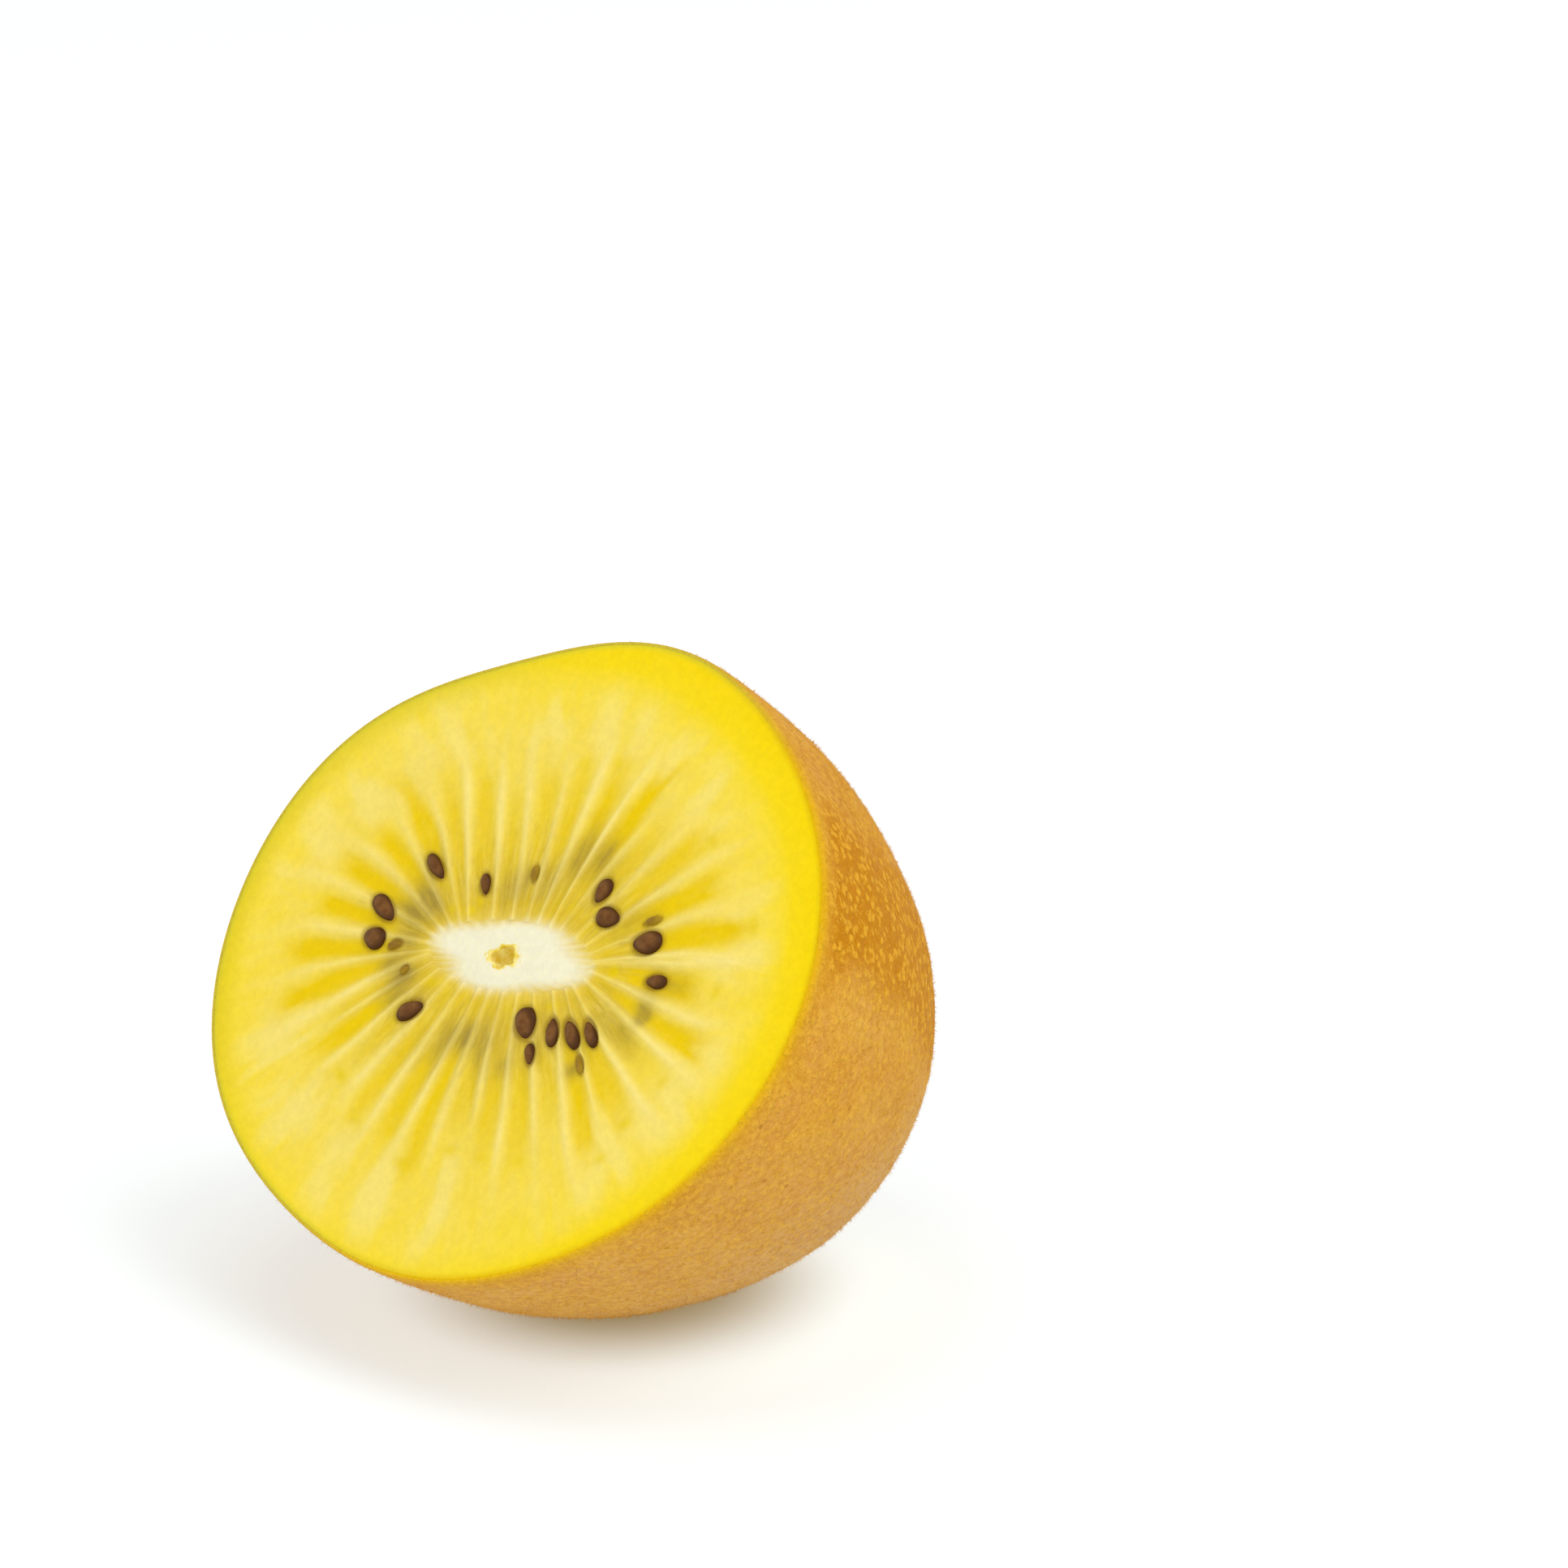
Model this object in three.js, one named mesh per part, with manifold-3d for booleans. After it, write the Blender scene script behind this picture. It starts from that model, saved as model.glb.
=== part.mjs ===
// Half of a gold kiwifruit, cut across its middle and lying on its side.
// Millimetres, +Z up. The cut face looks towards -Y and upwards, and the origin is the
// middle of the small flat spot that the half rests on.
//
// The half grew as one piece, so it is one solid: a closed stack of rings that starts in the
// hollow of the core, crosses the cut face, turns over the rim and runs down the skin to the
// far end. Its seeds are sunk in the cut face and fused to it.

import * as THREE from 'three';
import { mergeVertices } from 'three/addons/utils/BufferGeometryUtils.js';
import Module from 'manifold-3d';

const wasm = await Module();
wasm.setup();

const rad = THREE.MathUtils.degToRad;
const { lerp, smoothstep } = THREE.MathUtils;

// --- Driving dimensions ---------------------------------------------------------------

// The body, from the cut to the far end.
const CUT_RADIUS = 26; // mean radius of the cut face
const HALF_LENGTH = 36; // along the fruit, from the cut to the end
const FULLNESS = 2.06; // of the long profile: 2 is an ellipse, more is blunter

// How the outline of the cut leaves a circle: each row adds a wave of so many lobes, so
// high, with a crest at so many degrees. The first row is the fruit's flattened section.
const OUTLINE_WAVES = [
  { lobes: 2, height: 1.84, crest: 13 },
  { lobes: 3, height: 0.33, crest: 63 },
  { lobes: 4, height: 0.25, crest: -4 },
  { lobes: 5, height: 0.17, crest: 6 },
  { lobes: 6, height: 0.12, crest: 30 },
];
const WAVES_AT_END = 0.35; // share of those waves that is left at the far end

// How it lies: the cut face leans back, and its middle stands over and before the rest spot.
const FACE_LEAN = 34; // degrees that the face looks upwards
const FACE_HEIGHT = 28.7;
const FACE_FORWARD = 11.2;
const FACE_ASIDE = 0.2;

// The pale core in the middle of the face, its little hollow and its low swelling.
const CORE = { halfLength: 7.9, halfWidth: 2.7, tilt: 7.5, height: 0.35 };
const HOLLOW = { halfLength: 1.3, halfWidth: 0.8, depth: 0.9 };

// Fibres that ray out from the core to the flesh, with a chamber between each two.
// Their spacing widens a little towards one side of the fruit.
const RAYS = { count: 33, first: 2.4, height: 0.22, end: 0.78 };
const RAY_CROWDING = { by: 2.2, about: 65 };
const CHAMBER = { depth: 0.28, start: 0.03, end: 0.62 };

// The blunt rim where the knife left the skin, and the dried scar at the far end.
const RIM_BEVEL = 0.3;
const SCAR = { radius: 3.4, lip: 0.45, depth: 0.7 };

// Seeds lie in the chambers, sunk to more than half of their thickness. Each row names the
// chamber, counted in rays from the first; how far out the seed lies on the way from the
// core (0) to the rim (1); its length and breadth; and how many degrees its pointed end is
// turned from pointing at the core.
const SEED_THICKNESS = 1.3;
const SEEDS = [
  { chamber: 1.4, reach: 0.245, length: 2.6, breadth: 1.8, turn: -9 },
  { chamber: 2.2, reach: 0.28, length: 1.6, breadth: 0.6, turn: -10 },
  { chamber: 3.6, reach: 0.135, length: 2.2, breadth: 1.55, turn: 130 },
  { chamber: 4.75, reach: 0.19, length: 2.05, breadth: 1.4, turn: 5 },
  { chamber: 8.0, reach: 0.17, length: 1.3, breadth: 0.6, turn: 8 },
  { chamber: 10.25, reach: 0.14, length: 1.8, breadth: 0.95, turn: 3 },
  { chamber: 12.35, reach: 0.275, length: 2.7, breadth: 1.15, turn: 10 },
  { chamber: 14.9, reach: 0.295, length: 2.9, breadth: 1.45, turn: -17 },
  { chamber: 16.15, reach: 0.275, length: 2.2, breadth: 1.7, turn: 170 },
  { chamber: 16.4, reach: 0.165, length: 1.4, breadth: 0.65, turn: 17 },
  { chamber: 18.2, reach: 0.12, length: 0.8, breadth: 0.45, turn: 29 },
  { chamber: 20.45, reach: 0.19, length: 2.5, breadth: 1.45, turn: -26 },
  { chamber: 26.55, reach: 0.11, length: 2.5, breadth: 1.8, turn: 190 },
  { chamber: 26.85, reach: 0.225, length: 1.8, breadth: 0.85, turn: 180 },
  { chamber: 27.9, reach: 0.16, length: 2.3, breadth: 1.2, turn: -10 },
  { chamber: 28.8, reach: 0.19, length: 2.7, breadth: 1.2, turn: 3 },
  { chamber: 28.8, reach: 0.32, length: 1.6, breadth: 0.6, turn: -5 },
  { chamber: 29.6, reach: 0.225, length: 2.5, breadth: 1.05, turn: -6 },
  { chamber: 32.8, reach: 0.31, length: 2.1, breadth: 1.1, turn: 5 },
];

// How finely it is faceted.
const COLUMNS = 4 * RAYS.count; // four to each ray and chamber
const BODY_STEPS = 13;

// --- The cut face ---------------------------------------------------------------------
// Every point of the face has a clock angle, from 0 to 2 pi round the fruit, and a reach,
// 0 at the edge of the core and 1 at the rim. A line of one clock angle is a ray.

// Clock angle of a ray or chamber, given as a number of rays from the first.
function clockOf(ray) {
  const even = rad(RAYS.first) + (2 * Math.PI * ray) / RAYS.count;
  return even + rad(RAY_CROWDING.by) * Math.sin(even - rad(RAY_CROWDING.about));
}

// Radius of the fruit at a clock angle, where the section is down to a share of its size.
function sectionRadius(clock, share) {
  const waves = OUTLINE_WAVES.reduce(
    (sum, { lobes, height, crest }) => sum + height * Math.cos(lobes * (clock - rad(crest))),
    0,
  );
  return share * (CUT_RADIUS + waves * lerp(WAVES_AT_END, 1, share));
}

// A point on an ellipse that lies along the core.
function ellipsePoint(clock, halfLength, halfWidth) {
  const along = halfLength * Math.cos(clock);
  const across = halfWidth * Math.sin(clock);
  const tilt = rad(CORE.tilt);
  return new THREE.Vector2(
    along * Math.cos(tilt) - across * Math.sin(tilt),
    along * Math.sin(tilt) + across * Math.cos(tilt),
  );
}

const coreEdge = (clock) => ellipsePoint(clock, CORE.halfLength, CORE.halfWidth);
const hollowEdge = (clock) => ellipsePoint(clock, HOLLOW.halfLength, HOLLOW.halfWidth);

// The rim, with a clock angle counted from the core's own long axis.
function rimPoint(clock, inset) {
  const angle = clock + rad(CORE.tilt);
  const radius = sectionRadius(angle, 1) - inset;
  return new THREE.Vector2(radius * Math.cos(angle), radius * Math.sin(angle));
}

const facePoint = (clock, reach) => coreEdge(clock).lerp(rimPoint(clock, RIM_BEVEL), reach);

// Rises from 0 at start, is 1 halfway, and falls to 0 at end.
const hump = (x, start, end) =>
  smoothstep(x, start, lerp(start, end, 0.3)) * (1 - smoothstep(x, lerp(start, end, 0.5), end));

// Height of the face: fibres stand up, and the wet chambers between them sink.
function rayRelief(ray, reach) {
  const onRay = 0.5 + 0.5 * Math.cos(2 * Math.PI * ray);
  const fibre = RAYS.height * onRay * hump(reach, 0, RAYS.end);
  const chamber = CHAMBER.depth * (1 - onRay) * hump(reach, CHAMBER.start, CHAMBER.end);
  return fibre - chamber;
}

// --- Rings ----------------------------------------------------------------------------
// In the fruit's own frame the face lies in the plane z = 0 and the body below it.

// A ring of the given number of points, each placed by its number of rays from the first.
function ring(points, place) {
  return Array.from({ length: points }, (_, k) => place((k * RAYS.count) / points));
}

function coreRings() {
  const coarse = COLUMNS / 4;
  return [0, 0.4, 0.8].map((share) =>
    ring(coarse, (ray) => {
      const clock = clockOf(ray);
      const flat = hollowEdge(clock).lerp(coreEdge(clock), share);
      return new THREE.Vector3(flat.x, flat.y, CORE.height * (1 - share * share));
    }),
  );
}

function faceRings() {
  const nearCore = [0, 0.05];
  const acrossRays = [0.1, 0.17, 0.25, 0.34, 0.44, 0.55, 0.66, 0.78];
  const outerFlesh = [0.9, 1];
  const rings = (reaches, points) =>
    reaches.map((reach) =>
      ring(points, (ray) => {
        const flat = facePoint(clockOf(ray), reach);
        return new THREE.Vector3(flat.x, flat.y, rayRelief(ray, reach));
      }),
    );
  return [
    ...rings(nearCore, COLUMNS / 2),
    ...rings(acrossRays, COLUMNS),
    ...rings(outerFlesh, COLUMNS / 2),
  ];
}

// The skin, from just under the rim to the lip of the scar. A step's angle runs from 0 at
// the cut to a right angle at the end, and gives depth and size as on a full ellipse.
function bodyRings() {
  const power = 2 / FULLNESS;
  const rings = [];
  for (let step = 0; step < BODY_STEPS; step += 1) {
    const angle = (Math.PI / 2) * (step / BODY_STEPS);
    const share = Math.cos(angle) ** power;
    const depth = Math.max(HALF_LENGTH * Math.sin(angle) ** power, RIM_BEVEL);
    rings.push(skinRing(COLUMNS / 2, share, -depth));
  }
  return rings;
}

function skinRing(points, share, z) {
  return ring(points, (ray) => {
    const angle = clockOf(ray) + rad(CORE.tilt);
    const radius = sectionRadius(angle, share);
    return new THREE.Vector3(radius * Math.cos(angle), radius * Math.sin(angle), z);
  });
}

// The far end: a low lip round the scar, and its sunken middle.
function scarRings() {
  const level = (share) => -HALF_LENGTH * (1 - share ** FULLNESS) ** (1 / FULLNESS);
  const atRadius = (radius, rise) => {
    const share = radius / CUT_RADIUS;
    return skinRing(COLUMNS / 4, share, level(share) - rise);
  };
  return [
    atRadius(SCAR.radius * 1.45, 0),
    atRadius(SCAR.radius, SCAR.lip),
    atRadius(SCAR.radius * 0.75, SCAR.lip * 0.6),
    atRadius(SCAR.radius * 0.45, -SCAR.depth),
  ];
}

// --- Solids ---------------------------------------------------------------------------

// Triangles between two rings, where one may have twice or half the points of the other.
function stitch(inner, outer, faces) {
  const [n, m] = [inner.length, outer.length];
  const steps = Math.max(n, m);
  for (let k = 0; k < steps; k += 1) {
    const [a, b] = [k, k + 1].map((i) => inner[Math.round((i * n) / steps - 0.25) % n]);
    const [c, d] = [k, k + 1].map((i) => outer[Math.round((i * m) / steps - 0.25) % m]);
    if (a !== b) faces.push([a, d, b]);
    if (c !== d) faces.push([a, c, d]);
  }
}

// A closed skin over a stack of rings, with a point to close each end.
function skinOver(firstPoint, rings, lastPoint) {
  const points = [firstPoint];
  const indexed = rings.map((one) => one.map((point) => points.push(point) - 1));
  const last = points.push(lastPoint) - 1;
  const faces = [];
  const opening = indexed[0];
  opening.forEach((at, k) => faces.push([0, at, opening[(k + 1) % opening.length]]));
  for (let k = 1; k < indexed.length; k += 1) stitch(indexed[k - 1], indexed[k], faces);
  const closing = indexed.at(-1);
  closing.forEach((at, k) => faces.push([last, closing[(k + 1) % closing.length], at]));
  const geometry = new THREE.BufferGeometry().setFromPoints(points);
  geometry.setIndex(faces.flat());
  return geometry;
}

function bodyGeometry() {
  const hollowFloor = new THREE.Vector3(0, 0, -HOLLOW.depth);
  const scarFloor = new THREE.Vector3(0, 0, -HALF_LENGTH + SCAR.depth);
  return skinOver(hollowFloor, [...coreRings(), ...faceRings(), ...bodyRings(), ...scarRings()], scarFloor);
}

// A seed: a flattened drop along X, turned from a profile with its pointed end at +X.
function seedGeometry(length, breadth) {
  const profile = [
    [0, -0.5],
    [0.3, -0.4],
    [0.5, -0.12],
    [0.4, 0.2],
    [0.16, 0.42],
    [0, 0.5],
  ].map(([radius, along]) => new THREE.Vector2(radius, along));
  const sides = 8;
  const geometry = new THREE.LatheGeometry(profile, sides);
  geometry.rotateZ(-Math.PI / 2);
  return geometry.scale(length, breadth, SEED_THICKNESS);
}

// Each seed stands out of the face by a little, the broad ones by more.
function placedSeeds() {
  return SEEDS.map(({ chamber, reach, length, breadth, turn }) => {
    const clock = clockOf(chamber);
    const place = facePoint(clock, reach);
    const inwards = coreEdge(clock).sub(rimPoint(clock, 0)).angle();
    const proud = 0.2 + 0.15 * breadth;
    const geometry = seedGeometry(length, breadth).rotateZ(inwards + rad(turn));
    return geometry.translate(place.x, place.y, proud - SEED_THICKNESS / 2);
  });
}

// Moves the fruit from its own frame to where it lies on the table.
function laidDown(geometry) {
  geometry.rotateX(rad(90 - FACE_LEAN));
  return geometry.translate(FACE_ASIDE, -FACE_FORWARD, FACE_HEIGHT);
}

function solid(geometry) {
  const bare = geometry.clone();
  bare.deleteAttribute('normal');
  bare.deleteAttribute('uv');
  const merged = mergeVertices(bare, 1e-5);
  const mesh = new wasm.Mesh({
    numProp: 3,
    vertProperties: new Float32Array(merged.attributes.position.array),
    triVerts: new Uint32Array(merged.index.array),
  });
  return new wasm.Manifold(mesh);
}

// Everything above the table's plane, so that the underside gets its flat rest spot.
function spaceAboveTable() {
  const size = 4 * HALF_LENGTH;
  return new THREE.BoxGeometry(size, size, size).translate(0, 0, size / 2);
}

function kiwiHalf() {
  let fruit = solid(laidDown(bodyGeometry()));
  for (const seed of placedSeeds()) fruit = fruit.add(solid(laidDown(seed)));
  const { vertProperties, triVerts } = fruit.intersect(solid(spaceAboveTable())).getMesh();
  const geometry = new THREE.BufferGeometry();
  geometry.setAttribute('position', new THREE.BufferAttribute(vertProperties, 3));
  geometry.setIndex(new THREE.BufferAttribute(triVerts, 1));
  geometry.computeVertexNormals();
  return geometry;
}

const goldenFlesh = new THREE.MeshStandardMaterial({ color: 0xf0d428, roughness: 0.35, metalness: 0 });
const half = new THREE.Mesh(kiwiHalf(), goldenFlesh);
half.name = 'kiwi_half';

const kiwi = new THREE.Group();
kiwi.add(half);

export default kiwi;
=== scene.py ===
"""Half of a gold kiwifruit on a pale table, cut face forward, in soft studio light.

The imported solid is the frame. Its surface is worked out again here from the same driving
dimensions, in millimetres, finely enough to be seen close: the cut flesh with its fibres,
chambers and core, the thin skin with its down, the seeds, and the dried scar at the far end.
"""

import math

import bpy
import numpy as np
from mathutils import Matrix


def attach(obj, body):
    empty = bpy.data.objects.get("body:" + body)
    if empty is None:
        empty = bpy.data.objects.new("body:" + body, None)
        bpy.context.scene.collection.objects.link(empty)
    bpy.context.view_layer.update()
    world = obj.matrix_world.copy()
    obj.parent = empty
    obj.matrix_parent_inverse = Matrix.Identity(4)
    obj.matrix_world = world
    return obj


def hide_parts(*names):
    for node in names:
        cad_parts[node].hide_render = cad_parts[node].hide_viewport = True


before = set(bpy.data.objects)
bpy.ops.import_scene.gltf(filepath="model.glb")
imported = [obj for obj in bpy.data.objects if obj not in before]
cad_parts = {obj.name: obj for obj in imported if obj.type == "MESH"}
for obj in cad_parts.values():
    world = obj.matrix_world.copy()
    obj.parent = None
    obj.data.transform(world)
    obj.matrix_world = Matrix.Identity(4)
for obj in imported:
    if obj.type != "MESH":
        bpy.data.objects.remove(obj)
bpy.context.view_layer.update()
NODE = "kiwi_half"
MM = 0.001

# --- Driving dimensions, in millimetres and degrees ---

CUT_RADIUS = 26.0
HALF_LENGTH = 36.0
FULLNESS = 2.06  # of the long profile: 2 is an ellipse, more is blunter
# Waves that take the cut's outline off a circle: lobes, height, place of a crest.
OUTLINE_WAVES = ((2, 1.84, 13), (3, 0.33, 63), (4, 0.25, -4), (5, 0.17, 6), (6, 0.12, 30))
WAVES_AT_END = 0.35  # share of the waves that is left at the far end

FACE_LEAN = 34.0  # how far the cut face looks upwards
FACE_PLACE = (0.2, -11.2, 28.7)  # its middle, from the rest spot

CORE_LENGTH, CORE_WIDTH, CORE_TILT = 7.9, 2.7, 7.5  # half axes of the core
CORE_SWELL = 0.22
HOLLOW_LENGTH, HOLLOW_WIDTH, HOLLOW_DEPTH = 1.3, 0.8, 0.9
HOLLOW_PLACE = np.array([-0.35, -0.25])  # of its middle, from the core's

RAYS = 33  # fibres round the core, with a chamber between each two
FIRST_RAY = 2.4
RAY_CROWDING, CROWDING_ABOUT = 2.2, 65.0
FACE_REACH = 19.0  # from the core to the rim, on the whole
HALF_WAY, OUTER_END = 0.45, 0.8  # reaches at which the fibres' places are given

FIBRE_RISE, GLOW_RISE, STREAK_RISE = 0.08, 0.06, 0.015  # relief of the cut face
CHAMBER_SINK, SEAT_SINK = 0.14, 0.06
GREENEST = 160.0  # clock angle where the rim is greenest

SKIN_THICKNESS = 0.22
SKIN_GRAIN = 0.018  # height of its fine unevenness
# Low waves of the skin: height, waves round the fruit, turn from end to end, start.
SKIN_WAVES = ((0.05, 5, 7.0, 0.0), (0.04, 9, -15.0, 1.3), (0.03, 14, 24.0, 4.0))
RIM_ROUNDING = 0.12  # how far the skin draws in at the cut
HAIR_LENGTHS, HAIR_LEANS = (0.15, 0.45), (0.4, 1.6)  # a lean is sideways for 1 up
HAIR_RADIUS, HAIR_ROOT = 0.02, 0.05
SCAR_RADIUS, SCAR_LIP, SCAR_DEPTH = 3.4, 0.45, 0.7
DISC_SHARE, DISC_RISE, DISC_ROOT = 0.86, 0.12, 0.5  # dried disc in the scar's floor
STRAND_REACHES, STRAND_LENGTHS, STRAND_CURLS = (0.3, 1.9), (0.7, 1.5), (-1.2, 1.2)
STRAND_RADIUS = 0.09

SEED_THICKNESS = 1.3
SEED_RISE, RISE_WITH_BREADTH = 0.2, 0.15  # how far seeds stand out of the flesh
# Chamber, counted in rays from the first; reach from core to rim; length; breadth; turn of
# the pointed end from pointing at the core.
SEEDS = (
    (1.4, 0.245, 2.6, 1.8, -9),
    (2.2, 0.28, 1.6, 0.6, -10),
    (3.6, 0.135, 2.2, 1.55, 130),
    (4.75, 0.19, 2.05, 1.4, 5),
    (8.0, 0.17, 1.3, 0.6, 8),
    (10.25, 0.14, 1.8, 0.95, 3),
    (12.35, 0.275, 2.7, 1.15, 10),
    (14.9, 0.295, 2.9, 1.45, -17),
    (16.15, 0.275, 2.2, 1.7, 170),
    (16.4, 0.165, 1.4, 0.65, 17),
    (18.2, 0.12, 0.8, 0.45, 29),
    (20.45, 0.19, 2.5, 1.45, -26),
    (26.55, 0.11, 2.5, 1.8, 190),
    (26.85, 0.225, 1.8, 0.85, 180),
    (27.9, 0.16, 2.3, 1.2, -10),
    (28.8, 0.19, 2.7, 1.2, 3),
    (28.8, 0.32, 1.6, 0.6, -5),
    (29.6, 0.225, 2.5, 1.05, -6),
    (32.8, 0.31, 2.1, 1.1, 5),
)
# Seeds just under the face show as a grey shade: place, reach, length, strength.
BURIED_SEEDS = (
    (2.7, 0.2, 2.6, 0.3), (5.65, 0.28, 3.0, 0.75), (6.45, 0.26, 3.6, 0.65),
    (7.3, 0.14, 3.4, 0.35), (8.5, 0.12, 2.4, 0.35), (9.2, 0.12, 3.0, 0.2),
    (12.9, 0.14, 3.6, 0.3), (13.3, 0.17, 3.6, 0.65), (14.4, 0.16, 3.4, 0.7),
    (15.4, 0.13, 3.0, 0.3), (16.3, 0.1, 2.0, 0.5), (17.6, 0.18, 2.2, 0.6),
    (18.5, 0.13, 2.4, 0.7), (19.3, 0.2, 2.6, 0.5), (22.8, 0.22, 3.2, 0.5),
    (23.75, 0.18, 2.2, 0.75), (24.7, 0.2, 3.0, 0.5), (25.8, 0.26, 1.8, 0.45),
    (28.35, 0.33, 1.2, 0.45), (30.6, 0.3, 4.6, 0.4), (31.45, 0.34, 1.0, 0.8),
    (31.8, 0.32, 1.6, 0.8), (32.8, 0.4, 2.8, 0.3),
)
# Fibres in order round the core: place at the core, half way and at the outer end, in rays;
# reach where it ends, width, brightness; then the chamber that follows it: reach of its top
# and depth of its gold.
FIBRES = (
    (0.45, 0.48, 0.26, 0.82, 1.0, 0.9, 0.3, 0.0),
    (0.85, 0.68, 0.46, 0.84, 1.0, 1.0, 0.74, 0.95),
    (1.9, 1.78, 1.66, 0.8, 1.2, 0.5, 0.63, 0.9),
    (2.95, 3.0, 2.65, 0.82, 1.1, 0.7, 0.64, 0.6),
    (4.1, 4.05, 3.95, 0.7, 1.3, 0.45, 0.52, 0.45),
    (5.4, 5.05, 4.9, 0.62, 1.1, 0.5, 0.69, 0.95),
    (6.1, 6.04, 5.8, 0.78, 0.8, 0.9, 0.63, 0.7),
    (6.9, 7.03, 7.0, 0.78, 1.2, 0.95, 0.59, 0.55),
    (7.6, 7.92, 8.2, 0.65, 1.0, 0.7, 0.59, 0.45),
    (8.5, 8.86, 9.05, 0.75, 1.3, 0.85, 0.48, 0.4),
    (9.7, 9.8, 10.0, 0.76, 1.2, 0.9, 0.59, 0.55),
    (11.35, 10.84, 11.05, 0.8, 1.1, 1.0, 0.57, 0.55),
    (11.95, 11.8, 12.1, 0.78, 1.0, 0.55, 0.67, 0.75),
    (12.75, 12.8, 12.85, 0.74, 1.0, 0.55, 0.58, 0.9),
    (13.7, 13.83, 14.0, 0.8, 1.2, 0.7, 0.63, 0.85),
    (14.75, 14.87, 15.1, 0.8, 1.0, 0.65, 0.67, 1.0),
    (15.9, 16.0, 16.2, 0.8, 1.2, 0.75, 0.68, 1.0),
    (17.0, 17.1, 17.3, 0.75, 0.9, 0.6, 0.69, 1.0),
    (17.55, 18.25, 18.5, 0.8, 1.4, 0.9, 0.5, 0.6),
    (18.7, 18.85, 19.0, 0.6, 0.7, 0.5, 0.61, 0.85),
    (19.7, 19.79, 19.9, 0.78, 1.0, 0.8, 0.45, 0.4),
    (21.0, 20.92, 20.82, 0.76, 1.4, 0.75, 0.61, 0.6),
    (22.15, 22.05, 22.05, 0.78, 1.2, 0.85, 0.61, 0.7),
    (23.3, 23.13, 22.95, 0.78, 0.9, 0.8, 0.68, 0.7),
    (24.05, 24.08, 24.2, 0.74, 1.3, 0.65, 0.51, 0.5),
    (24.95, 25.1, 25.2, 0.6, 1.0, 0.7, 0.62, 0.55),
    (25.85, 26.07, 25.95, 0.78, 1.0, 0.85, 0.62, 0.5),
    (26.95, 27.1, 27.25, 0.7, 0.9, 0.75, 0.5, 0.35),
    (28.3, 28.04, 28.08, 0.85, 1.0, 1.0, 0.73, 0.75),
    (29.25, 28.9, 29.0, 0.75, 0.6, 0.6, 0.65, 0.6),
    (29.95, 29.95, 30.15, 0.85, 1.0, 1.0, 0.53, 0.4),
    (31.2, 31.04, 31.05, 0.82, 1.0, 0.95, 0.72, 0.9),
    (32.4, 32.13, 32.3, 0.82, 1.1, 0.9, 0.53, 1.0),
)
# Small deeper spots in the flesh, by the core and just outside the chambers: place, reach,
# breadth, strength.
SPOTS = (
    (0.0, 0.1, 0.9, 0.8), (5.4, 0.09, 0.9, 0.7), (10.5, 0.08, 0.6, 0.7),
    (11.1, 0.04, 0.9, 0.9), (12.1, 0.07, 0.9, 0.6), (20.0, 0.06, 0.9, 0.6),
    (28.1, 0.06, 0.9, 0.8), (32.7, 0.1, 0.9, 0.8), (1.15, 0.71, 1.2, 0.6),
    (3.3, 0.61, 1.0, 0.5), (6.7, 0.59, 0.9, 0.6), (7.6, 0.57, 0.9, 0.4),
    (10.3, 0.54, 0.8, 0.6), (10.7, 0.76, 0.8, 0.4), (20.35, 0.54, 1.3, 0.8),
    (21.5, 0.61, 1.4, 0.5), (22.65, 0.57, 1.1, 0.6), (23.45, 0.65, 1.5, 0.7),
    (24.65, 0.56, 1.2, 0.7), (25.6, 0.58, 1.0, 0.6), (26.7, 0.61, 1.0, 0.5),
    (28.7, 0.71, 1.1, 0.6), (29.45, 0.64, 1.0, 0.8), (30.6, 0.61, 1.1, 0.5),
    (32.8, 0.6, 1.1, 0.6),
)

# How much further in or out the flesh turns to its deep outer yellow: clock in degrees, shift
# of the reach.
OUTER_SHIFTS = (
    (10, 0.04), (65, 0.045), (92, -0.01), (112, -0.09), (140, -0.12), (190, -0.045),
    (235, -0.11), (265, -0.11), (290, -0.08), (315, -0.02), (345, 0.03),
)
# Deeper, more speckled stripes of the skin, the first and strongest also painted shade: place
# round the fruit and half width in degrees, strength.
STRIPES_AND_SHADE = (
    (27.0, 13.0, 1.0),
    (64.0, 16.0, 0.25),
    (112.0, 24.0, 0.5),
    (171.0, 20.0, 0.35),
    (-128.0, 24.0, 0.45),
)

# How finely the meshes are worked out.
COLUMNS_PER_RAY = 20
FACE_ROWS = 88
SIDE_ROWS = 24
SKIN_COLUMNS, SKIN_ROWS = 480, 150
RIM_STEPS = (0.0, 0.002, 0.004, 0.008, 0.014)  # rows of the skin close to the cut
INSIDE_ROWS = 16
HAIRS = 30000
SCAR_COLUMNS, SCAR_ROWS = 96, 14
STRANDS, STRAND_SIDES, STRAND_JOINTS = 34, 5, 7
SEED_SIDES, SEED_ROWS = 28, 20
SHARP_FROM = 50.0  # edges that turn by more than this many degrees show as edges

# --- Forms ---


def smoothstep(value, low, high):
    """0 below low, 1 above high, an S-shaped rise between."""
    t = np.clip((value - low) / (high - low), 0.0, 1.0)
    return t * t * (3.0 - 2.0 * t)


def bell(value, width):
    """1 at zero, falling off as a bell curve of that half width."""
    return np.exp(-((value / width) ** 2))


def turned(x, y, angle):
    """Places or lengths x and y after a turn by the angle, from x towards y."""
    c, s = math.cos(angle), math.sin(angle)
    return x * c - y * s, x * s + y * c


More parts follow.
